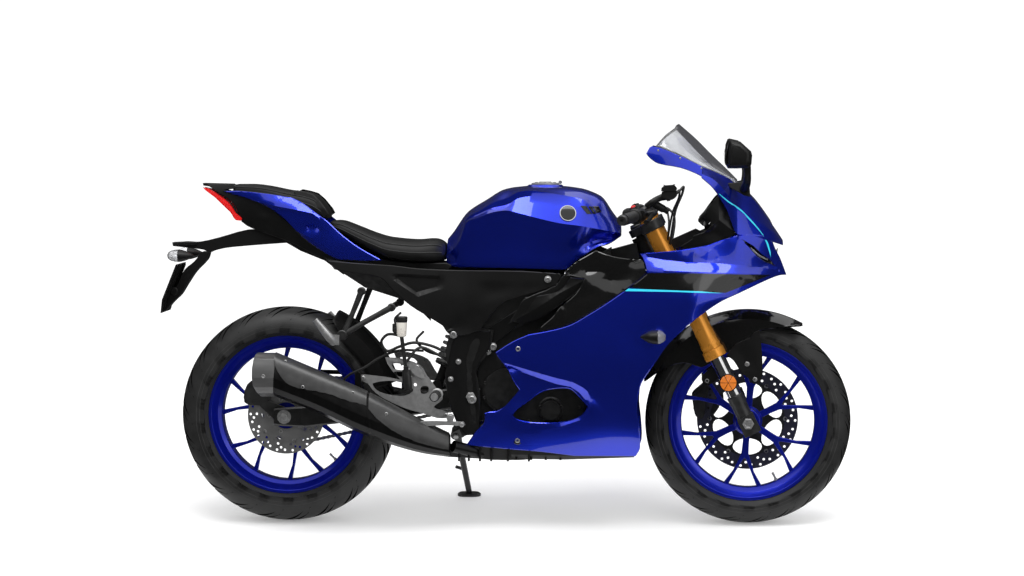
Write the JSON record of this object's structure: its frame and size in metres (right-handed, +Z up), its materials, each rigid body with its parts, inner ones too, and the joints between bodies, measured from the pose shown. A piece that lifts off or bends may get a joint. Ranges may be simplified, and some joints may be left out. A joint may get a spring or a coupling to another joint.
{
  "type": "sport bike",
  "caption": "Faired single-cylinder sport motorcycle parked leaning on its side stand, with turning wheels, steering and stand",
  "frame": {"origin": "middle of the whole bike's box, at the floor it stands on", "axes": "+X forward, +Y to the rider's left, +Z up; the bike leans 10 degrees towards +Y on its side stand"},
  "size_m": [1.983, 0.762, 1.1432],
  "materials": {
    "tyre": "matt black rubber with shallow grooves",
    "wheel_paint": "gloss blue paint on cast alloy",
    "blue_paint": "deep gloss blue paint with a clear coat",
    "gloss_black": "gloss black moulding",
    "black_plastic": "fine-grained satin black moulding",
    "seat_cover": "grained vinyl seat cover",
    "disc_steel": "turned steel",
    "steel": "oiled steel",
    "chrome": "hard chrome",
    "gold": "gold anodised",
    "aluminium": "satin aluminium",
    "black_metal": "satin black paint",
    "frame_paint": "satin black paint on steel",
    "engine_metal": "dark painted castings",
    "exhaust_steel": "satin stainless steel",
    "exhaust_black": "heat-proof satin black",
    "rubber": "ribbed rubber",
    "amber": "ribbed amber reflector",
    "red_lens": "red lamp lens",
    "clear_lens": "clear lamp lens",
    "screen": "clear moulded screen"
  },
  "bodies": {
    "chassis": {"drive_chain": "steel", "swingarm": "frame_paint", "rear_shock": "steel", "engine": "engine_metal", "radiator": "black_metal", "exhaust_header": "exhaust_steel", "muffler": "exhaust_black", "muffler_trim": "exhaust_steel", "fuel_tank": "blue_paint", "rider_seat": "seat_cover", "pillion_seat": "seat_cover", "frame": "frame_paint", "tail_undertray": "black_plastic", "tail_covers": "blue_paint", "tail_lamp": "red_lens", "plate_holder": "black_plastic", "rear_indicators": "clear_lens", "side_panels": "black_plastic", "side_fairings": "blue_paint", "upper_panels": "gloss_black", "belly_pan": "black_plastic", "front_cowl": "blue_paint", "windscreen": "screen", "headlamp": "black_plastic", "instrument_panel": "black_plastic", "mirrors": "black_plastic", "front_indicators": "clear_lens", "foot_controls": "black_metal", "footrests": "aluminium", "rear_hugger": "black_plastic", "rear_caliper": "black_metal"},
    "steering": {"fork_outer_tubes": "gold", "fork_inner_tubes": "chrome", "fork_lugs": "black_metal", "triple_clamps": "black_metal", "handlebars": "black_metal", "grips": "rubber", "hand_controls": "black_plastic", "front_fender": "gloss_black", "front_caliper": "black_metal", "fork_reflectors": "amber"},
    "front_wheel": {"front_tyre": "tyre", "front_rim": "wheel_paint", "front_brake_disc": "disc_steel"},
    "rear_wheel": {"rear_tyre": "tyre", "rear_rim": "wheel_paint", "rear_brake_disc": "disc_steel", "rear_sprocket": "steel"},
    "side_stand": {"side_stand": "black_metal"},
    "fuel_cap": {"fuel_cap": "aluminium"}
  },
  "joints": [
    {"name": "steering_turn", "type": "hinge", "parent": "chassis", "child": "steering", "pos_m": [0.41585, -0.03955, 0.75943], "axis": [-0.4384, 0.1561, 0.8851], "range_deg": [-30, 30]},
    {"name": "front_wheel_spin", "type": "hinge", "parent": "steering", "child": "front_wheel", "pos_m": [0.6965, -0.12204, 0.2916], "axis": [0, 0.9848, -0.1736], "continuous": true},
    {"name": "rear_wheel_spin", "type": "hinge", "parent": "chassis", "child": "rear_wheel", "pos_m": [-0.6285, -0.11944, 0.30637], "axis": [0, 0.9848, -0.1736], "continuous": true},
    {"name": "side_stand_fold", "type": "hinge", "parent": "chassis", "child": "side_stand", "pos_m": [-0.1505, -0.014, 0.22482], "axis": [0.0622, 0.8918, 0.4482], "range_deg": [0, 91.63]},
    {"name": "fuel_cap_lid", "type": "hinge", "parent": "chassis", "child": "fuel_cap", "pos_m": [0.1565, -0.00327, 0.9652], "axis": [0, 0.9848, -0.1736], "range_deg": [0, 90]}
  ]
}
